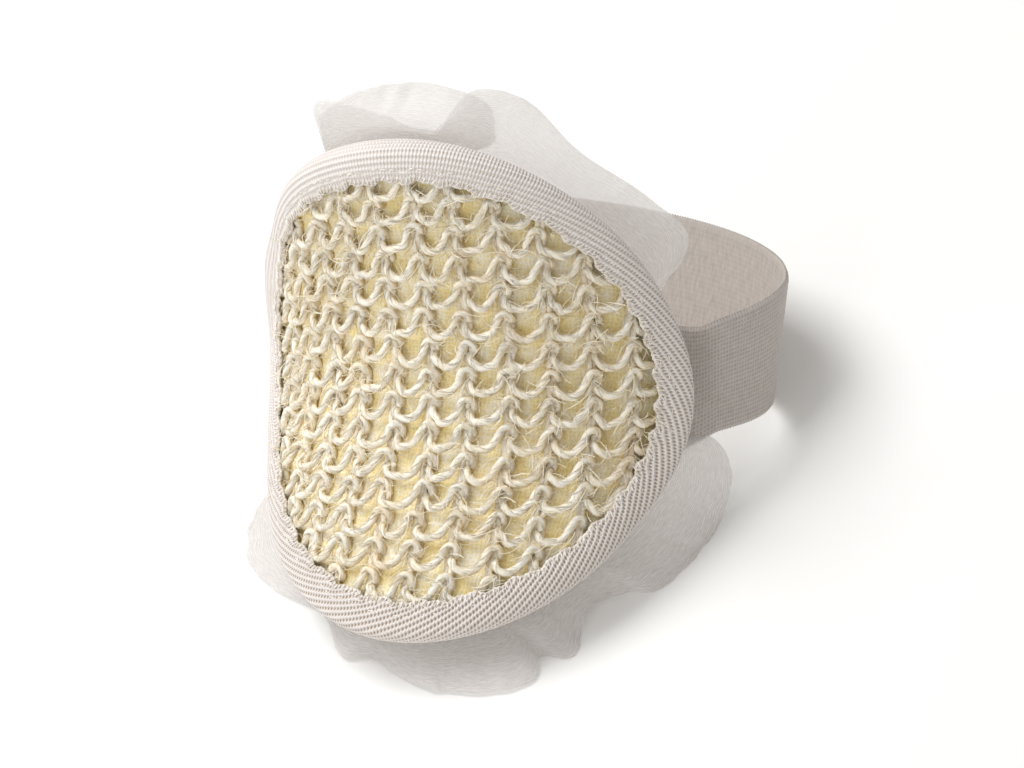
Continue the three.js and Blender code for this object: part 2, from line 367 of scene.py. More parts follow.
def yarnTree():
    # a lobed section swept along the path and turned as it goes, then roughened a little
    tree, given = newTree("spinYarn", radius=0.001, lobeDepth=0.1, lobes=3, sides=12, twistPitch=0.006,
                          fuzz=0.0001, seed=1)
    curve = addNode(tree, "GeometryNodeMeshToCurve", {"Mesh": given["Geometry"]}).outputs[0]
    length = addNode(tree, "GeometryNodeSplineParameter").outputs["Length"]
    along = addNode(tree, "GeometryNodeCaptureAttribute", {"Geometry": curve}, domain="POINT")
    along.capture_items.new("FLOAT", "along")
    tree.links.new(length, along.inputs[1])
    turns = maths(tree, "DIVIDE", length, given["twistPitch"])
    tilt = maths(tree, "MULTIPLY", turns, 2 * math.pi)
    twisted = addNode(tree, "GeometryNodeSetCurveTilt", {"Curve": along.outputs[0], "Tilt": tilt}).outputs[0]

    circle = addNode(tree, "GeometryNodeCurvePrimitiveCircle",
                     {"Resolution": given["sides"], "Radius": given["radius"]}).outputs[0]
    factor = addNode(tree, "GeometryNodeSplineParameter").outputs["Factor"]
    angle = maths(tree, "MULTIPLY", factor, 2 * math.pi)
    around = addNode(tree, "GeometryNodeCaptureAttribute", {"Geometry": circle}, domain="POINT")
    around.capture_items.new("FLOAT", "around")
    tree.links.new(angle, around.inputs[1])
    wave = maths(tree, "COSINE", maths(tree, "MULTIPLY", angle, given["lobes"]))
    swell = maths(tree, "MULTIPLY_ADD", wave, given["lobeDepth"], 1.0)
    place = addNode(tree, "GeometryNodeInputPosition").outputs[0]
    lobed = addNode(tree, "ShaderNodeVectorMath", {0: place, "Scale": swell}, operation="SCALE").outputs[0]
    section = addNode(tree, "GeometryNodeSetPosition",
                      {"Geometry": around.outputs[0], "Position": lobed}).outputs[0]

    tube = addNode(tree, "GeometryNodeCurveToMesh",
                   {"Curve": twisted, "Profile Curve": section, "Fill Caps": True}).outputs[0]
    coord = addNode(tree, "ShaderNodeCombineXYZ", {
        "X": maths(tree, "COSINE", around.outputs[1]), "Y": maths(tree, "SINE", around.outputs[1]),
        "Z": maths(tree, "MULTIPLY", along.outputs[1], 1000.0)}).outputs[0]
    named = addNode(tree, "GeometryNodeStoreNamedAttribute",
                    {"Geometry": tube, "Name": "fibreCoord", "Value": coord},
                    data_type="FLOAT_VECTOR", domain="POINT").outputs[0]
    noise = addNode(tree, "ShaderNodeTexNoise", {"W": maths(tree, "ADD", given["seed"], 0.5), "Scale": 900.0,
                                                 "Detail": 1.0}, noise_dimensions="4D").outputs["Fac"]
    amount = maths(tree, "MULTIPLY", maths(tree, "SUBTRACT", noise, 0.5), given["fuzz"])
    normal = addNode(tree, "GeometryNodeInputNormal").outputs[0]
    offset = addNode(tree, "ShaderNodeVectorMath", {0: normal, "Scale": amount}, operation="SCALE").outputs[0]
    rough = addNode(tree, "GeometryNodeSetPosition", {"Geometry": named, "Offset": offset}).outputs[0]
    shaded = addNode(tree, "GeometryNodeSetShadeSmooth", {0: rough}).outputs[0]
    real = addNode(tree, "GeometryNodeRealizeInstances", {0: shaded}).outputs[0]
    return endTree(tree, given, real)


def pathMesh(name, runs, up=None):
    # open runs of points as plain edges
    points = np.concatenate(runs)
    edges, start = [], 0
    for run in runs:
        edges += [(start + k, start + k + 1) for k in range(len(run) - 1)]
        start += len(run)
    piece = makeMesh(name, points, [], edges=edges)
    if up is not None:
        attribute = piece.data.attributes.new("up", "FLOAT_VECTOR", "POINT")
        attribute.data.foreach_set("vector", np.concatenate(up).ravel())
    return piece


def latticePoint(i, j):
    # from the knit's own columns and rows, in mm, to across and up on the pad
    c, s = math.cos(yarn["slant"]), math.sin(yarn["slant"])
    return yarn["firstAcross"] + c * i - s * (j - yarn["shift"]), yarn["firstUp"] + s * i + c * j


# One stitch from the bottom of its hanging loop to the next, in mm: along, up, and out from the lining.
# It climbs in front to an arch, turns down behind its own shoulder and comes out again lower down.
stitch = np.array([
    [0.0, 0.0, 2.15], [1.75, 0.3, 2.2], [3.3, 1.4, 2.25], [4.4, 3.05, 2.2], [5.1, 4.75, 2.1],
    [6.05, 5.9, 1.9], [7.35, 5.95, 1.5], [8.3, 4.95, 0.85], [8.15, 3.75, 0.05], [7.3, 3.6, -0.15],
    [7.0, 2.9, 0.75], [7.45, 1.55, 1.6], [8.75, 0.4, 2.0],
])


def knitPoint(i, j, out, radius):
    # on the lining, and tucked down under the tape near the rim
    across, up = latticePoint(i, j)
    share = shareAt(across, up)
    depth = depthOf("knit", 1, share) - out * yarn["relief"]
    tucked = depthOf("knit", 0, share) + radius * 1.05
    tuck = smooth(share, 0.80, 0.875)
    return across, up, depth * (1 - tuck) + np.maximum(depth, tucked) * tuck, share


def clipRuns(points, keep):
    # splits a run of points where it leaves the pad
    runs, start = [], None
    for k, inside in enumerate(list(keep) + [False]):
        if inside and start is None:
            start = k
        if not inside and start is not None:
            if k - start > 12:
                runs.append(points[start:k])
            start = None
    return runs


def evenly(points, step):
    # the same run at an even spacing
    gone = distances(points)
    at = np.linspace(0, gone[-1], max(int(gone[-1] / step), 4))
    return np.stack([np.interp(at, gone, points[:, k]) for k in range(3)], -1)


def layStrands(across, up, depth, share):
    # single fibres wound loosely round a run of yarn, standing off it here and there
    centre = onPad(across, up, depth)
    out = onPad(across, up, depth - 1) - centre
    along = unit(np.gradient(centre, axis=0))
    out = unit(out - along * (out * along).sum(-1, keepdims=True))
    side = np.cross(along, out)
    count, runs = len(centre), []
    for strand in range(yarn["strands"]):
        seed = int(rng.integers(1 << 30))
        turn = np.arange(count) * yarn["step"] * 2 * math.pi / yarn["strandPitch"]
        turn = turn + strand * 2 * math.pi / yarn["strands"]
        turn = turn + waver(count, yarn["step"], 0.45, 5.0, seed)
        lift = yarn["radius"] * 0.98 + np.maximum(waver(count, yarn["step"], 0.11, 3.5, seed + 1), -0.05)
        points = centre + (np.cos(turn)[:, None] * out + np.sin(turn)[:, None] * side) * lift[:, None]
        facing = np.cos(turn) > -0.75                      # none on the side against the lining
        runs += [run[::2] for run in clipRuns(setDown(points), (share < yarn["edge"] - 0.01) & facing)]
    return runs


def makeKnit():
    tree = yarnTree()
    material = yarnMaterial("sisalYarn", "#FFF8E7", "#F9E6C2")
    rows, legs, strands = [], [], []
    for row in range(*yarn["rows"]):
        knots = []
        for column in range(*yarn["columns"]):
            knot = stitch + rng.normal(size=stitch.shape) * yarn["jitter"] * (1, 1, 0.6)
            knot += rng.normal(size=3) * yarn["drift"] * (1.1, 0.8, 0.3)
            place = (column * yarn["stitchWidth"], -row * yarn["rowHeight"], 0)
            knots.append(knot + place)
            for x, lean in yarn["legs"]:
                # the loop's two legs, lying back against the lining up to the row above
                base = np.array([[x, 3.0, 0.35], [x + lean, 5.2, 0.75],
                                 [x + 1.1 * lean, 7.8, 0.75], [x, 10.6, 0.3]])
                base += rng.normal(size=base.shape) * yarn["legJitter"] + place
                run = through(base, 5)
                across, up, depth, share = knitPoint(run[:, 0], run[:, 1], run[:, 2], yarn["legRadius"])
                if share.max() < yarn["legReach"]:
                    legs.append(setDown(onPad(across, up, depth)))
        run = evenly(through(np.concatenate(knots), 8), yarn["step"])
        across, up, depth, share = knitPoint(run[:, 0], run[:, 1], run[:, 2], yarn["radius"])
        rows += clipRuns(setDown(onPad(across, up, depth)), share < yarn["edge"])
        strands += layStrands(across, up, depth, share)
    path = pathMesh("rowPath", rows)
    knit = runTree(path, tree, "sisalKnit", radius=yarn["radius"] * mm, lobeDepth=yarn["lobeDepth"],
                   lobes=yarn["lobes"], sides=yarn["sides"], twistPitch=yarn["twistPitch"] * mm,
                   fuzz=0.0004, seed=3, material=material)
    legPath = pathMesh("legPath", legs)
    legPiece = runTree(legPath, tree, "sisalLegs", radius=yarn["legRadius"] * mm, lobeDepth=0.1,
                       lobes=3, sides=9, twistPitch=9 * mm, fuzz=0.0004, seed=5, material=material)
    strandPath = pathMesh("strandPath", strands)
    strandPiece = runTree(strandPath, tree, "sisalStrands", radius=yarn["strandRadius"] * mm, lobeDepth=0.0,
                          lobes=1, sides=3, twistPitch=1.0, fuzz=0.0, seed=7, material=material)
    remove(path, legPath, strandPath)
    return turnOutwards(knit), turnOutwards(legPiece), turnOutwards(strandPiece)


knit, knitLegs, knitStrands = makeKnit()
finishPiece(knit, None, "sisal", "sisal_knit_face")
finishPiece(knitLegs, None, "sisal")
finishPiece(knitStrands, None, "sisal")
print("knit:", *(f"{piece.name} {len(piece.data.polygons)} faces" for piece in (knit, knitLegs, knitStrands)))


# Loose fibres that have worked out of the yarn.

fibres = dict(perSquareMetre=160000.0, length=6.0, thick=0.085, seed=12)


def fibreTree():
    tree, given = newTree("strayFibres", density=1000.0, length=0.005, thick=0.0001, seed=1)
    spread = addNode(tree, "GeometryNodeDistributePointsOnFaces",
                     {"Mesh": given["Geometry"], "Density": given["density"], "Seed": given["seed"]})
    end = lambda x, y, z: addNode(tree, "ShaderNodeCombineXYZ", {
        "X": maths(tree, "MULTIPLY", given["length"], x), "Y": maths(tree, "MULTIPLY", given["length"], y),
        "Z": maths(tree, "MULTIPLY", given["length"], z)}).outputs[0]
    hair = addNode(tree, "GeometryNodeCurveQuadraticBezier", {
        "Resolution": 7, "Start": end(-0.5, 0.0, -0.06), "Middle": end(0.05, 0.22, 0.22),
        "End": end(0.5, -0.05, 0.04)}).outputs[0]
    section = addNode(tree, "GeometryNodeCurvePrimitiveCircle",
                      {"Resolution": 3, "Radius": given["thick"]}).outputs[0]
    tube = addNode(tree, "GeometryNodeCurveToMesh",
                   {"Curve": hair, "Profile Curve": section, "Fill Caps": True}).outputs[0]
    turn = addNode(tree, "FunctionNodeRandomValue", {
        0: (-0.25, -0.35, 0.0), 1: (0.25, 0.35, 6.283), "Seed": given["seed"]},
        data_type="FLOAT_VECTOR").outputs[0]
    spin = addNode(tree, "FunctionNodeEulerToRotation", {0: turn}).outputs[0]
    rotation = addNode(tree, "FunctionNodeRotateRotation",
                       {"Rotation": spread.outputs["Rotation"], "Rotate By": spin},
                       rotation_space="LOCAL").outputs[0]
    size = addNode(tree, "FunctionNodeRandomValue", {2: 0.35, 3: 1.5, "Seed": given["seed"]},
                   data_type="FLOAT").outputs[1]
    placed = addNode(tree, "GeometryNodeInstanceOnPoints", {
        "Points": spread.outputs["Points"], "Instance": tube, "Rotation": rotation, "Scale": size}).outputs[0]
    real = addNode(tree, "GeometryNodeRealizeInstances", {0: placed}).outputs[0]
    return endTree(tree, given, real)


def fibreMaterial():
    # single sisal fibres: stiff, smooth and glossy like fine straw
    material, tree, shader = newMaterial("sisalFibre", 0.4, Specular_IOR_Level=0.5)
    place = objectPlace(tree)
    tone = noise(tree, place, 400.0)
    tree.links.new(ramp(tree, tone, (0.35, "#F2E4BE"), (0.65, "#FFFBF0")), shader.inputs["Base Color"])
    return material


strays = runTree(knit, fibreTree(), "strayFibres", density=fibres["perSquareMetre"],
                 length=fibres["length"] * mm, thick=fibres["thick"] * mm, seed=fibres["seed"],
                 material=fibreMaterial())
finishPiece(strays, None, "sisal")
print("stray fibres:", len(strays.data.polygons), "faces")


# Lining, filling and back cloth.

lining = dict(threads=1.05, rings=64, around=160)   # thread spacing in mm


def clothDisc(name, layer, side, reach, lift=0.0):
    # a layer's surface as one round cloth, its middle closed by a fan
    shares = reach * (np.arange(1, lining["rings"] + 1) / lining["rings"]) ** 0.9
    angles = np.arange(lining["around"]) * 2 * math.pi / lining["around"]
    share, angle = np.meshgrid(shares, angles, indexing="ij")
    across, up = outline(angle, share)
    depth = depthOf(layer, side, share) - lift
    points = np.concatenate([onPad(0, 0, depthOf(layer, side, 0.0) - lift)[None],
                             onPad(across, up, depth).reshape(-1, 3)])
    flat = np.concatenate([[[0, 0]], np.stack([across, up], -1).reshape(-1, 2)])
    n, k = lining["around"], np.arange(lining["around"])
    faces = [(0, 1 + b, 1 + a) for a, b in zip(k, (k + 1) % n)]
    ring = np.arange(lining["rings"] - 1)[:, None] * n + 1
    quads = np.stack([ring + k, ring + (k + 1) % n, ring + n + (k + 1) % n, ring + n + k], -1).reshape(-1, 4)
    faces += quads.tolist()
    uv = np.concatenate([flat[list(face)] for face in faces])
    return makeMesh(name, setDown(points), faces, uv)


def gauzeMaterial(name, thread, hole, shade, spacing, blotch=1.0, weaving=0.13):
    # open plain-woven cotton: pale threads over and under, with the darker filling showing in the gaps
    material, tree, shader = newMaterial(name, 0.85, Sheen_Weight=0.15, Specular_IOR_Level=0.2)
    cloth = clothPlace(tree)
    bend = addNode(tree, "ShaderNodeTexNoise", {"Vector": cloth, "Scale": 0.35}).outputs["Color"]
    bent = addNode(tree, "ShaderNodeVectorMath", {0: bend, 1: (2.2, 2.2, 0), 2: cloth},
                   operation="MULTIPLY_ADD").outputs[0]
    split = addNode(tree, "ShaderNodeSeparateXYZ", {0: bent}).outputs
    wave = [cosine(tree, split[k], spacing) for k in (0, 1)]
    weave = maths(tree, "MAXIMUM", wave[0], wave[1])
    patch = noise(tree, cloth, 0.16, 1.0)
    level = maths(tree, "MULTIPLY_ADD", maths(tree, "SUBTRACT", patch, 0.5), blotch, maths(
        tree, "MULTIPLY_ADD", weave, weaving, 0.5))
    colour = ramp(tree, level, (0.3, shade), (0.5, hole), (0.78, thread))
    dress(tree, shader, colour, weave, 0.35, 0.0002)
    return material


def makeFoam():
    front = clothDisc("foamFront", "foam", 0, pad["knitReach"])
    back = clothDisc("foamBack", "foam", 1, pad["knitReach"])
    n, count = lining["around"], len(front.data.vertices)
    first = count - n
    points = np.concatenate([[v.co[:] for v in o.data.vertices] for o in (front, back)])
    faces = [tuple(p.vertices) for p in front.data.polygons]
    faces += [tuple(count + v for v in reversed(p.vertices)) for p in back.data.polygons]
    for k in range(n):
        after = (k + 1) % n
        faces.append((first + k, first + after, count + first + after, count + first + k))
    piece = makeMesh("foamFilling", points, faces)
    remove(front, back)
    return turnOutwards(piece)


def foamMaterial():
    # soft polyester filling: matte, pale, with fine open cells
    material, tree, shader = newMaterial("polyesterFoam", 0.95, Specular_IOR_Level=0.1)
    place = objectPlace(tree)
    cells = addNode(tree, "ShaderNodeTexVoronoi", {"Vector": place, "Scale": 900.0}).outputs["Distance"]
    dress(tree, shader, ramp(tree, cells, (0.1, "#E7DDBE"), (0.8, "#CDBB8C")), cells, 0.5, 0.0004)
    return material


liningCloth = clothDisc("liningCloth", "lining", 0, pad["knitReach"])
finishPiece(liningCloth, gauzeMaterial("cottonGauze", "#FFFCEE", "#FBEFBE", "#F4E1A0", lining["threads"]),
            "lining", "lining_cloth")
foam = finishPiece(makeFoam(), foamMaterial(), "foam", "foam_filling")
backCloth = clothDisc("backCloth", "backCloth", 1, pad["knitReach"])
backCloth.data.flip_normals()
finishPiece(backCloth, gauzeMaterial("cottonCanvas", "#EFE9DC", "#E3DBCB", "#D3C8B4", 0.9, 0.25, 0.2),
            "back_cloth", "back_cloth")
print("lining, filling and back cloth ready")


# Cotton tape folded over the edge.

tape = dict(
    flap=0.864, fold=0.965, inside=0.955, thickness=0.9, around=1030, across=72,
    waveSize=0.5, waveLength=12.0, ridges=66, ridgeSpacing=1.5, ridgeHeight=0.38, loopSpacing=0.9,
    lean=11.0, leanAt=310.0,   # the ridges slant most at the lower right, hardly at all opposite
)
rimLength = float(np.linalg.norm(np.diff(onPad(*outline(np.linspace(0, 2 * math.pi, 721), 1.0), 5.0), axis=0),
                                 axis=1).sum())


def tapeSection():
    # share and depth along the tape's outside, from the front flap's inner edge round the rim to the back's
    front = lambda share: depthOf("knit", 0, share) - gap
    back = lambda share: depthOf("backCloth", 1, share) + gap
    middle = (front(1.0) + back(1.0)) / 2
    t, near, far = tape["thickness"], tape["flap"], tape["fold"]
    half = (near + far) / 2
    knots = [(near, front(near) - 0.1), (near + 0.002, front(near) - t), (half, front(half) - t - 0.3),
             (far, front(far) - t), (0.990, front(1.0)), (1.0, middle), (0.990, back(1.0)),
             (far, back(far) + t), (half, back(half) + t + 0.3), (near + 0.002, back(near) + t),
             (near, back(near) + 0.1)]
    under = [(tape["inside"], back(tape["inside"])), ((tape["inside"] + 1) / 2, middle),
             (tape["inside"], front(tape["inside"]))]
    run = through([(s * rimReach, d, 0) for s, d in knots], 12)
    run = evenly(run, np.linalg.norm(np.diff(run, axis=0), axis=1).sum() / tape["across"])
    gone = distances(run)
    return run[:, 0] / rimReach, run[:, 1], gone, np.array(under)


def tapeMaterial():
    # cotton tape, knitted in narrow slanting ridges of little loops, with painted shade darkening the
    # pinholes and valleys between them
    material, tree, shader = newMaterial("cottonTwillTape", 0.8, Sheen_Weight=0.3, Sheen_Roughness=0.5,
                                         Specular_IOR_Level=0.2)
    cloth = clothPlace(tree)
    split = addNode(tree, "ShaderNodeSeparateXYZ", {0: cloth}).outputs
    turn = maths(tree, "SUBTRACT", maths(tree, "MULTIPLY", split[0], 2 * math.pi / rimLength),
                 math.radians(tape["leanAt"]))
    slope = maths(tree, "MULTIPLY_ADD", maths(tree, "SINE", turn), tape["lean"],
                  maths(tree, "MULTIPLY", split[0], tape["ridges"] / rimLength))
    phase = maths(tree, "ADD", slope, maths(tree, "DIVIDE", split[1], tape["ridgeSpacing"]))
    ridge = maths(tree, "MULTIPLY_ADD", cosine(tree, phase, 1.0), 0.5, 0.5)
    skewed = maths(tree, "MULTIPLY_ADD", split[1], 0.12, split[0])
    loops = maths(tree, "MULTIPLY_ADD", cosine(tree, skewed, tape["loopSpacing"]), 0.5, 0.5)
    height = maths(tree, "MULTIPLY_ADD", ridge, 0.6, maths(tree, "MULTIPLY", loops, 0.4))
    # painted shade: the pinholes between the loops and the valleys between the ridges are darkened, most at
    # the lower right where the slant is
    hole = maths(tree, "MULTIPLY", maths(tree, "SUBTRACT", 1.0, ridge), maths(tree, "SUBTRACT", 1.0, loops))
    patch = noise(tree, cloth, 0.25)
    valleyShade = maths(tree, "MULTIPLY", maths(tree, "SUBTRACT", 1.0, ridge), 0.2)
    bold = maths(tree, "MULTIPLY_ADD", maths(tree, "COSINE", turn), 0.3, 0.7)     # deepest where the slant is
    gaps = maths(tree, "MULTIPLY", maths(tree, "ADD", hole, valleyShade), bold)
    level = maths(tree, "MULTIPLY_ADD", patch, 0.2, gaps)
    colour = ramp(tree, level, (0.12, "#EBE4E0"), (0.5, "#D9D0C8"), (1.0, "#A69483"))
    dress(tree, shader, colour, height, 1.0, 0.00045)
    return material


def makeTape():
    count = tape["around"]
    angle = np.arange(count) * 2 * math.pi / count
    share, depth, v, under = tapeSection()
    rim = onPad(*outline(np.append(angle, 2 * math.pi), 1.0), 5.0)
    u = distances(rim)
    waves = round(rimLength / tape["waveLength"])
    wave = np.sin(angle * waves + 1.5 * np.sin(angle * 3)) + 0.6 * np.sin(angle * (2 * waves + 7) + 1.0)
    ease = 1 - smooth(v, 0.5, 4.0)
    shares = share[None, :] + wave[:, None] * ease[None, :] * tape["waveSize"] / rimReach
    points = onPad(*outline(angle[:, None], shares), depth[None, :])
    normal = unit(np.cross(np.roll(points, -1, 0) - np.roll(points, 1, 0), np.gradient(points, axis=1)))
    outward = np.sign((normal[:, tape["across"] // 2] * rimFrame(angle, 5.0)[1]).sum(-1).mean())
    lean = tape["lean"] * np.sin(u[:-1, None] * 2 * math.pi / rimLength - math.radians(tape["leanAt"]))
    phase = u[:-1, None] * tape["ridges"] / rimLength + lean + v[None, :] / tape["ridgeSpacing"]
    ridge = 0.5 + 0.5 * np.cos(2 * math.pi * phase)
    away = smooth(v, 0.8, 2.0) * smooth(v[-1] - v, 0.8, 2.0)
    bold = 0.6 + 0.4 * np.cos(angle - math.radians(tape["leanAt"]))[:, None]
    points = points + normal * outward * (ridge * away * bold * tape["ridgeHeight"])[..., None]
    inside = onPad(*outline(angle[:, None], under[None, :, 0]), under[None, :, 1])
    whole = np.concatenate([points, inside], 1)
    vAll = np.concatenate([v, v[-1] + np.linspace(8, 18, 3), [v[-1] + 26]])
    piece = gridMesh("bindingTape", setDown(whole), u, vAll, ring=True, closed=True)
    edge = shares[:, 0], depth[0], angle
    return turnOutwards(piece), edge, v[-1]


binding, tapeEdge, tapeWidth = makeTape()
finishPiece(binding, tapeMaterial(), "tape", "edge_binding")
print(f"binding: {len(binding.data.polygons)} faces, rim {round(rimLength)} mm, tape {round(tapeWidth)} mm")


# Stitches and loops that repeat along a path.

def stitchTree():
    # small rounded lengths of thread, laid along a path at even spacing
    tree, given = newTree("stitchRun", spacing=0.002, length=0.0015, thick=0.0003, slant=0.0, seed=1)
    curve = addNode(tree, "GeometryNodeMeshToCurve", {"Mesh": given["Geometry"]}).outputs[0]
    even = addNode(tree, "GeometryNodeResampleCurve", {"Curve": curve, "Length": given["spacing"]},
                   mode="LENGTH")
    ball = addNode(tree, "GeometryNodeMeshUVSphere", {"Segments": 7, "Rings": 5, "Radius": 0.5}).outputs[0]
    size = addNode(tree, "ShaderNodeCombineXYZ", {"X": given["length"], "Y": given["thick"],
                                                  "Z": given["thick"]}).outputs[0]
    thread = addNode(tree, "GeometryNodeTransform", {"Geometry": ball, "Scale": size}).outputs[0]
    tangent = addNode(tree, "GeometryNodeInputTangent").outputs[0]
    up = addNode(tree, "GeometryNodeInputNamedAttribute", {"Name": "up"}, data_type="FLOAT_VECTOR").outputs[0]
    first = addNode(tree, "FunctionNodeAlignRotationToVector", {"Vector": tangent}, axis="X").outputs[0]
    second = addNode(tree, "FunctionNodeAlignRotationToVector", {"Rotation": first, "Vector": up},
                     axis="Z", pivot_axis="X").outputs[0]
    wild = addNode(tree, "FunctionNodeRandomValue", {2: -0.12, 3: 0.12, "Seed": given["seed"]},
                   data_type="FLOAT").outputs[1]
    yaw = addNode(tree, "ShaderNodeCombineXYZ", {"Z": maths(tree, "ADD", given["slant"], wild)}).outputs[0]
    spin = addNode(tree, "FunctionNodeEulerToRotation", {0: yaw}).outputs[0]
    turned = addNode(tree, "FunctionNodeRotateRotation", {"Rotation": second, "Rotate By": spin},
                     rotation_space="LOCAL").outputs[0]
    placed = addNode(tree, "GeometryNodeInstanceOnPoints", {
        "Points": even.outputs[0], "Instance": thread, "Rotation": turned}).outputs[0]
    real = addNode(tree, "GeometryNodeRealizeInstances", {0: placed}).outputs[0]
    shaded = addNode(tree, "GeometryNodeSetShadeSmooth", {0: real}).outputs[0]
    return endTree(tree, given, shaded)


def threadMaterial(name, light, dark):
    # spun polyester sewing thread: smooth, with a low sheen
    material, tree, shader = newMaterial(name, 0.5, Sheen_Weight=0.2, Specular_IOR_Level=0.3)
    place = objectPlace(tree)
    tone = noise(tree, place, 700.0, 1.0)
    tree.links.new(ramp(tree, tone, (0.35, dark), (0.65, light)), shader.inputs["Base Color"])
    return material


overlock = dict(radius=0.5, twistPitch=2.2, stitchSpacing=1.25, stitchLength=2.4, stitchThick=0.42)
seam = dict(inset=3.1, spacing=2.6, length=2.1, thick=0.4, back=2.6)
sewing = stitchTree()
tapeThread = threadMaterial("polyesterThread", "#F2EDE6", "#D9D0C4")


def rimRun(name, share, depth):
    # a closed path round the pad with the surface's own up at each point
    angle = tapeEdge[2]
    across, up = outline(angle, share)
    points = onPad(across, up, depth)
    normal = unit(onPad(across, up, depth - 1) - points)
    points, normal = (np.concatenate([a, a[:1]]) for a in (points, normal))
    ahead = setDown(points + normal) - setDown(points)
    return pathMesh(name, [setDown(points)], [unit(ahead)])


def makeOverlock():
    # the flap's cut edge, rolled up in overlock thread
    share, depth, angle = tapeEdge
    path = rimRun("edgePath", share - 0.0015, depth - 0.35)
    roll = runTree(path, yarnTree(), "overlockRoll", radius=overlock["radius"] * mm, lobeDepth=0.2, lobes=2,
                   sides=8, twistPitch=overlock["twistPitch"] * mm, fuzz=0.0005, seed=8, material=tapeThread)
    loops = rimRun("loopPath", share + 0.008, depth - 1.02)
    whip = runTree(loops, sewing, "overlockStitches", spacing=overlock["stitchSpacing"] * mm,
                   length=overlock["stitchLength"] * mm, thick=overlock["stitchThick"] * mm, slant=1.15,
                   seed=2, material=tapeThread)
    remove(path, loops)
    return turnOutwards(roll), whip


def makeSeam():
    inner = tapeEdge[0] + seam["inset"] / rimReach
    front = rimRun("seamPath", inner, depthOf("knit", 0, inner) - gap - tape["thickness"] - 0.30)
    piece = runTree(front, sewing, "tapeSeam", spacing=seam["spacing"] * mm, length=seam["length"] * mm,
                    thick=seam["thick"] * mm, seed=4, material=tapeThread)
    flap = np.full_like(inner, tape["flap"] + seam["back"] / rimReach)
    behind = rimRun("backSeamPath", flap, depthOf("backCloth", 1, flap) + gap + tape["thickness"] + 0.35)
    other = runTree(behind, sewing, "tapeBackSeam", spacing=seam["spacing"] * mm, length=seam["length"] * mm,
                    thick=seam["thick"] * mm, seed=6, material=tapeThread)
    remove(front, behind)
    return piece, other


for part in (*makeOverlock(), *makeSeam()):
    finishPiece(part, None, "tape")
print("overlock and seams ready")


# Elastic strap.

strap = dict(
    width=30.0, thickness=1.5, sewnX=53.9, sewnY=35.9, sewnZ=4.3, tail=8.0, tailDepth=12.6,
    held=0.0, freed=16.0,      # it leaves the pad's curve for its own between these distances
    bendX=74.7, bendDepth=34.0, bendReach=22.6, depth=57.0, rise=0.365, flare=0.181,
    step=0.8, across=44, cords=22, cordHeight=0.05, picotSpacing=0.8,
)


def strapLine():
    s = strap
    corner = np.array([s["bendX"], s["bendDepth"]])
    towards = lambda x, y: corner + s["bendReach"] * unit(np.array([x, y]) - corner)
    before, after = towards(s["sewnX"], 0), towards(s["bendX"] / 2, s["depth"])
    far = np.array([s["bendX"] / 2, s["depth"]])
    t = np.linspace(0, 1, 60)[:, None]
    curve = lambda a, b, c: a * (1 - t) ** 2 + 2 * b * t * (1 - t) + c * t * t
    right = np.concatenate([curve(np.array([0, s["depth"]]), far, after), curve(after, corner, before)[1:],
                            (before * (1 - t) + np.array([s["sewnX"], 0]) * t)[1:]])
    whole = np.concatenate([right[::-1] * (-1, 1), right[1:]])
    return evenly(np.c_[whole, np.zeros(len(whole))], s["step"])[:, :2]


def strapSurface(heights):
    # points of the strap's middle layer, [along, height]
    s = strap
    line = strapLine()
    x, y = line[:, :1], line[:, 1:]
    back = y * (1 + s["flare"] * heights / (s["width"] / 2))
    c, n = math.cos(s["rise"]), math.sin(s["rise"])
    free = np.stack(np.broadcast_arrays(x, s["sewnY"] + back * c - heights * n,
                                        s["sewnZ"] + back * n + heights * c), -1)
    distance = np.abs(np.abs(x) - s["sewnX"]) + y
    side = np.sign(x)
    held = onPad(side * (pad["halfWidth"] + distance), s["sewnZ"] + heights, s["tailDepth"])
    blend = smooth(distance, s["held"], s["freed"])[..., None]
    points = held * (1 - blend) + free * blend
    tail = np.arange(-s["tail"], 0, s["step"])[:, None]
    ends = [onPad(k * (pad["halfWidth"] + t), s["sewnZ"] + heights, s["tailDepth"])
            for k, t in ((-1, tail), (1, tail[::-1]))]
    return np.concatenate([ends[0], points, ends[1]])


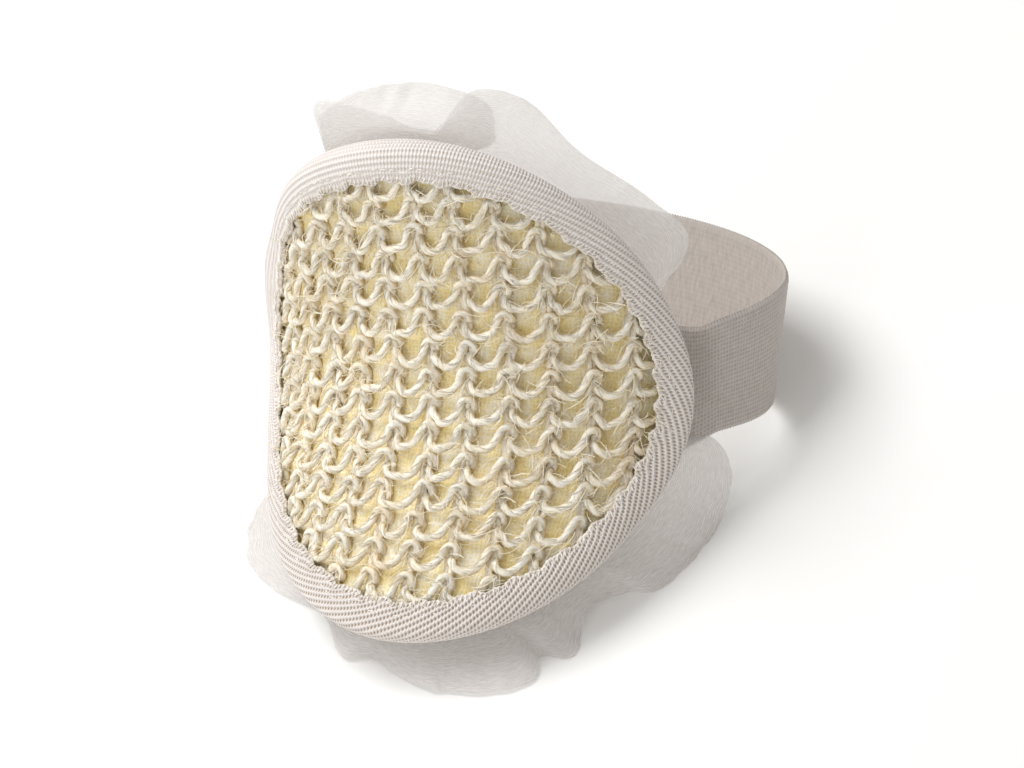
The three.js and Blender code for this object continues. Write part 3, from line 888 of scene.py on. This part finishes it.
def makeStrap():
    s = strap
    heights = np.linspace(-s["width"] / 2, s["width"] / 2, s["across"])
    middle = strapSurface(heights[None, :])
    normal = unit(np.cross(np.gradient(middle, axis=1), np.gradient(middle, axis=0)))
    u = distances(middle[:, s["across"] // 2])
    near = (s["width"] / 2 - np.abs(heights)) / 0.9
    half = s["thickness"] / 2 * np.sqrt(np.clip(1 - (1 - np.minimum(near, 1)) ** 2, 0.04, 1))
    cords = s["cordHeight"] * np.cos(2 * math.pi * s["cords"] * (heights / s["width"] + 0.5))
    outer = middle + normal * (half + cords)[None, :, None]
    inner = middle - normal * half[None, :, None]
    whole = np.concatenate([outer, inner[:, ::-1]], 1)
    v = np.concatenate([heights, 40 + heights, [40 + heights[-1] + 1]])
    piece = gridMesh("elasticStrap", setDown(whole), u, v, closed=True)
    mesh = piece.data
    cols, rows = whole.shape[1], whole.shape[0]
    caps = [[k for k in range(cols)][::-1], [(rows - 1) * cols + k for k in range(cols)]]
    points = [tuple(p.co) for p in mesh.vertices]
    faces = [tuple(p.vertices) for p in mesh.polygons] + [tuple(c) for c in caps]
    uv = np.zeros(len(mesh.loops) * 2)
    mesh.uv_layers[0].data.foreach_get("uv", uv)
    remove(piece)
    uv = np.concatenate([uv.reshape(-1, 2), np.zeros((2 * cols, 2))])
    piece = makeMesh("elasticStrap", points, faces, uv)
    edges, ups = [], []
    for k in (0, -1):
        run = middle[:, k] + unit(middle[:, k] - middle[:, s["across"] // 2]) * 0.02
        edges.append(setDown(run))
        ups.append(unit(setDown(run + normal[:, k]) - setDown(run)))
    return turnOutwards(piece), pathMesh("picotPath", edges, ups), u[-1]


def webbingMaterial():
    # woven elastic: rubber cords wrapped in greige polyester, ribbed across, smoother inside
    material, tree, shader = newMaterial("elasticWebbing", 0.72, Sheen_Weight=0.2, Specular_IOR_Level=0.25)
    cloth = clothPlace(tree)
    split = addNode(tree, "ShaderNodeSeparateXYZ", {0: cloth}).outputs
    inside = addNode(tree, "ShaderNodeMapRange", {0: split[1], 1: 18.0, 2: 22.0}).outputs[0]
    across = cosine(tree, split[0], 0.85)   # weft ribs
    along = cosine(tree, split[1], 1.1)     # rubber cords
    weave = maths(tree, "MULTIPLY_ADD", maths(tree, "MAXIMUM", across, along), 0.5, 0.5)
    lines = addNode(tree, "ShaderNodeMapping", {"Vector": cloth, "Scale": (1.1, 0.35, 1.0)}).outputs[0]
    line = noise(tree, lines, 1.0)
    calm = maths(tree, "MULTIPLY_ADD", inside, -0.75, 1.0)
    relief = maths(tree, "MULTIPLY", weave, calm)
    mixed = maths(tree, "MULTIPLY_ADD", maths(tree, "SUBTRACT", line, 0.5), 0.35, maths(
        tree, "MULTIPLY_ADD", relief, 0.3, maths(tree, "MULTIPLY_ADD", inside, 0.04, 0.3)))
    colour = ramp(tree, mixed, (0.25, "#A39B94"), (0.45, "#BAB2AC"), (0.7, "#CBC4BE"))
    dress(tree, shader, colour, relief, 0.6, 0.0002)
    return material


strapPiece, picotPath, strapLength = makeStrap()
finishPiece(strapPiece, webbingMaterial(), "elastic", "hand_strap")
picots = runTree(picotPath, sewing, "strapPicots", spacing=strap["picotSpacing"] * mm, length=0.42 * mm,
                 thick=0.4 * mm, seed=3, material=threadMaterial("elasticEdgeThread", "#B5ADA6", "#8E8680"))
remove(picotPath)
finishPiece(picots, None, "elastic")
print("strap:", round(strapLength), "mm long")


# Net frills, folded double and gathered into the seam.

frill = dict(inset=3.0, depth=10.0, step=0.7, plies=13, puff=0.75, ripple=0.45, ripplePeriod=9.0)
# Each free edge, by its peaks and hollows: place round the rim in degrees, reach past it, swing forwards.
upperFolds = dict(sewn=(32, 128), edge=[
    (31, 2, -3), (37, 16, -4), (48, 13, -1), (64, 10, 1), (78, 15, -1), (87, 13, 1), (93, 1, 3), (104, 6, 4),
    (117, 12, 2), (122, 8, 0), (112, 10, -3), (98, 11, -4), (84, 10, -3), (79, 2, -3),
])
lowerFolds = dict(sewn=(205, 357), edge=[
    (204, 5, -2), (218, 18, 4), (233, 15, 4), (248, 4, -5), (262, 7, -3), (270, 4, -5), (288, 12, 0),
    (303, 16, 3), (307, 11, -2), (312, 17, 0), (319, 8, -2), (328, 12, -2), (333, 19, 1), (352, 22, -1),
    (361, 14, -2), (359, 2, -3),
])


def makeFrill(name, folds, seed):
    f = frill
    run = through(folds["edge"], 24)
    edge = rimFrame(np.radians(run[:, 0]), f["depth"])
    free = edge[0] + edge[1] * run[:, 1:2] + edge[2] * run[:, 2:3]
    gone = distances(free)
    at = np.linspace(0, gone[-1], int(gone[-1] / f["step"]))
    place, reach, swing = (np.interp(at, gone, run[:, k])[:, None] for k in range(3))
    root = np.interp(place, (place.min(), place.max()), folds["sewn"])
    count = len(at)
    swing = swing + waver(count, f["step"], f["ripple"], f["ripplePeriod"], seed)[:, None]
    small = waver(count, f["step"], 0.35, 3.2, seed + 1)[:, None]
    q = np.sin(np.linspace(0, math.pi / 2, f["plies"]))[None, :]         # 0 at the root, 1 at the fold
    out = -f["inset"] + (reach + f["inset"]) * q
    degrees = root + (place - root) * smooth(q, 0.0, 1.0)
    point, outwards, forwards = rimFrame(np.radians(degrees), f["depth"])
    lift = (swing + small * q) * smooth(out, 0, np.maximum(reach, 1))
    middle = point + outwards * out[..., None] + forwards * lift[..., None]
    normal = unit(np.cross(np.gradient(middle, axis=0), np.gradient(middle, axis=1)))
    normal = normal * np.sign((normal * forwards).sum(-1, keepdims=True).mean((1, 2), keepdims=True))
    puff = f["puff"] * (0.25 + 0.75 * q) * np.sqrt(np.clip(1 - q ** 8, 0, 1))
    puff = puff * (1 + 0.5 * waver(count, f["step"], 1.0, 6.0, seed + 2)[:, None] * 0.6)
    front = middle + normal * puff[..., None]
    back = middle - normal * puff[..., None]
    sheet = np.concatenate([front, back[:, -2::-1]], 1)
    world = setDown(sheet)
    world[..., 2] = np.maximum(world[..., 2], 0.0)      # pressed flat where it meets the floor
    width = (20.0 + f["inset"]) * np.concatenate([q[0], 2 - q[0, -2::-1]])
    return gridMesh(name, world, at, width), gone[-1]


def netMaterial():
    # fine nylon net: sheer, with pale lines of knit along its length, and lit through as well as off it
    material, tree, shader = newMaterial("nylonNet", 0.42, Sheen_Weight=0.8, Sheen_Roughness=0.3,
                                         Specular_IOR_Level=0.4)
    cloth = clothPlace(tree)
    bend = noise(tree, cloth, 0.06, 1.0)
    split = addNode(tree, "ShaderNodeSeparateXYZ", {0: cloth}).outputs
    shifted = maths(tree, "MULTIPLY_ADD", bend, 6.0, split[1])
    courses = maths(tree, "MULTIPLY_ADD", cosine(tree, shifted, 0.62), 0.5, 0.5)
    long = addNode(tree, "ShaderNodeMapping", {"Vector": cloth, "Scale": (0.35, 1.2, 1.0)}).outputs[0]
    patch = noise(tree, long, 1.0)
    lines = maths(tree, "MULTIPLY", courses, maths(tree, "MULTIPLY_ADD", patch, 3.2, -1.2))
    alpha = maths(tree, "MULTIPLY_ADD", lines, 0.25, 0.38)
    colour = ramp(tree, lines, (0.0, "#F3F1F0"), (0.8, "#FDFCFC"))
    dress(tree, shader, colour, lines, 0.35, 0.0002)
    glow = addNode(tree, "ShaderNodeBsdfTranslucent", {"Color": colour}).outputs[0]
    cloudy = addNode(tree, "ShaderNodeMixShader", {0: 0.5, 1: shader.outputs[0], 2: glow}).outputs[0]
    clear = addNode(tree, "ShaderNodeBsdfTransparent", {"Color": srgb("#FBFAF9")}).outputs[0]
    cover = maths(tree, "MINIMUM", alpha, 0.97)
    sheer = addNode(tree, "ShaderNodeMixShader", {0: cover, 1: clear, 2: cloudy})
    tree.links.new(sheer.outputs[0], tree.nodes["Material Output"].inputs["Surface"])
    return material


netLook = netMaterial()
upperFrill, upperLength = makeFrill("upperFrill", upperFolds, 20)
lowerFrill, lowerLength = makeFrill("lowerFrill", lowerFolds, 30)
finishPiece(upperFrill, netLook, "net", "upper_frill")
finishPiece(lowerFrill, netLook, "net", "lower_frill")
print("frills:", round(upperLength), "and", round(lowerLength), "mm along their free edges")


# Floor, light and camera.

studio = dict(
    azimuth=25.5, elevation=8.0, roll=5.6, distance=1140.0, lens=159.83, aimRight=21.34, aimUp=0.40,
    floor="#FAFAF9", floorReach=4, floorDrop=0.4, world=(1.0, 0.98, 0.955, 1), worldStrength=0.46,
    # each lamp: place right, up and back of the pad's middle in metres, size, energy
    keyLight=((-0.46, 0.63, 0.3), 0.55, 6.2), fillLight=((-0.6, -0.32, 0.62), 0.7, 2.6),
)


def cameraAxes():
    # where the pad's middle stands, and the camera's right, up and back, in the floor's frame
    a, e, r = (math.radians(studio[k]) for k in ("azimuth", "elevation", "roll"))
    back = np.array([math.sin(a) * math.cos(e), -math.cos(a) * math.cos(e), math.sin(e)])
    right = unit(np.cross(-back, [0, 0, 1]))
    up = np.cross(right, -back)
    axes = [math.cos(r) * right + math.sin(r) * up, -math.sin(r) * right + math.cos(r) * up, back]
    origin = setDown(np.zeros(3))
    return origin, [unit(setDown(axis) - origin) for axis in axes]


def makeStudio():
    scene = bpy.context.scene
    origin, (right, up, back) = cameraAxes()
    place = origin + back * studio["distance"] * mm
    aim = origin + (right * studio["aimRight"] + up * studio["aimUp"]) * mm
    camera = bpy.data.objects.new("camera", bpy.data.cameras.new("camera"))
    camera.data.lens = studio["lens"]
    camera.data.clip_end = 10
    z = unit(place - aim)
    x = unit(np.cross(up, z))
    y = np.cross(z, x)
    turn = Matrix(np.stack([x, y, z], 1).tolist()).to_quaternion()
    camera.matrix_world = Matrix.LocRotScale(Vector(place), turn, None)
    scene.collection.objects.link(camera)
    scene.camera = camera

    r, drop = studio["floorReach"], studio["floorDrop"] * mm
    corners = [(-r, -r, -drop), (r, -r, -drop), (r, r, -drop), (-r, r, -drop)]
    floor = makeMesh("floor", corners, [(0, 1, 2, 3)])
    look, tree, shader = newMaterial("matteFloor", 0.9, Specular_IOR_Level=0.1)
    shader.inputs["Base Color"].default_value = srgb(studio["floor"])
    floor.data.materials.append(look)

    world = bpy.data.worlds.new("world")
    world.use_nodes = True
    world.node_tree.nodes["Background"].inputs[0].default_value = studio["world"]
    world.node_tree.nodes["Background"].inputs[1].default_value = studio["worldStrength"]
    scene.world = world
    for name in ("keyLight", "fillLight"):
        offset, size, energy = studio[name]
        lamp = bpy.data.lights.new(name, "AREA")
        lamp.energy, lamp.size = energy, size
        o = bpy.data.objects.new(name, lamp)
        o.location = Vector(origin + right * offset[0] + up * offset[1] + back * offset[2])
        o.rotation_euler = (Vector(origin) - o.location).to_track_quat("-Z", "Y").to_euler()
        scene.collection.objects.link(o)
    scene.view_settings.view_transform = "Standard"


makeStudio()
print("studio ready")
